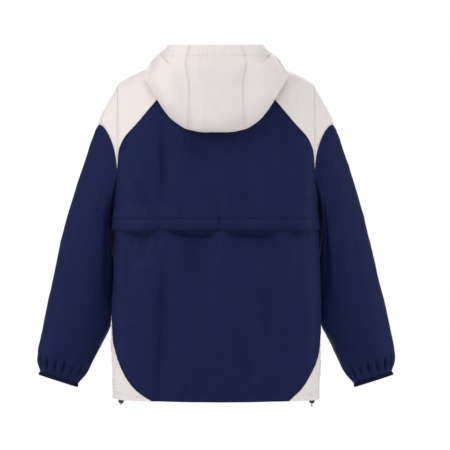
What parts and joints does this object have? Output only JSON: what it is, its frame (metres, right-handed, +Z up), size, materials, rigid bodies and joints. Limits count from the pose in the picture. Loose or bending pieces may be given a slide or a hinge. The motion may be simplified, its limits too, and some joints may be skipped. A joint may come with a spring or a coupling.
{
  "type": "hooded windbreaker jacket",
  "caption": "Hooded zip jacket held open as worn: vented back, shoulder yokes, side pieces, gathered cuffs, hood lying back and a zip pull that swings.",
  "frame": {"origin": "where the wearer's neck and shoulders carry the jacket: neck height, on the middle line", "axes": "+Z up, -Y to the wearer's front, +X to the wearer's left"},
  "size_m": [0.8086, 0.2695, 0.81],
  "materials": {
    "navy_cloth": "plain woven nylon, slight sheen",
    "white_cloth": "plain woven nylon, slight sheen",
    "zip_tape": "woven tape with moulded teeth",
    "black_metal": "painted, half matt",
    "black_plastic": "matt",
    "grey_cord": "braided elastic cord"
  },
  "bodies": {
    "jacket": {"back_upper": "navy_cloth", "back_lower": "navy_cloth", "front_left": "navy_cloth", "front_right": "navy_cloth", "side_gusset_left": "white_cloth", "side_gusset_right": "white_cloth", "yoke_left": "white_cloth", "yoke_right": "white_cloth", "sleeve_cap_left": "white_cloth", "sleeve_cap_right": "white_cloth", "sleeve_left": "navy_cloth", "sleeve_right": "navy_cloth", "cuff_left": "navy_cloth", "cuff_right": "navy_cloth", "hood_left": "white_cloth", "hood_centre": "white_cloth", "hood_right": "white_cloth", "zip_left": "zip_tape", "zip_right": "zip_tape", "zip_slider": "black_metal", "stopper_left": "black_plastic", "stopper_right": "black_plastic", "hem_cord_left": "grey_cord", "hem_cord_right": "grey_cord"},
    "pull_tab": {"zip_tab": "black_metal"}
  },
  "joints": [
    {"name": "tab_swing", "type": "hinge", "parent": "jacket", "child": "pull_tab", "pos_m": [0, -0.11668, -0.02909], "axis": [-1, 0, 0], "range_deg": [0, 150]}
  ]
}
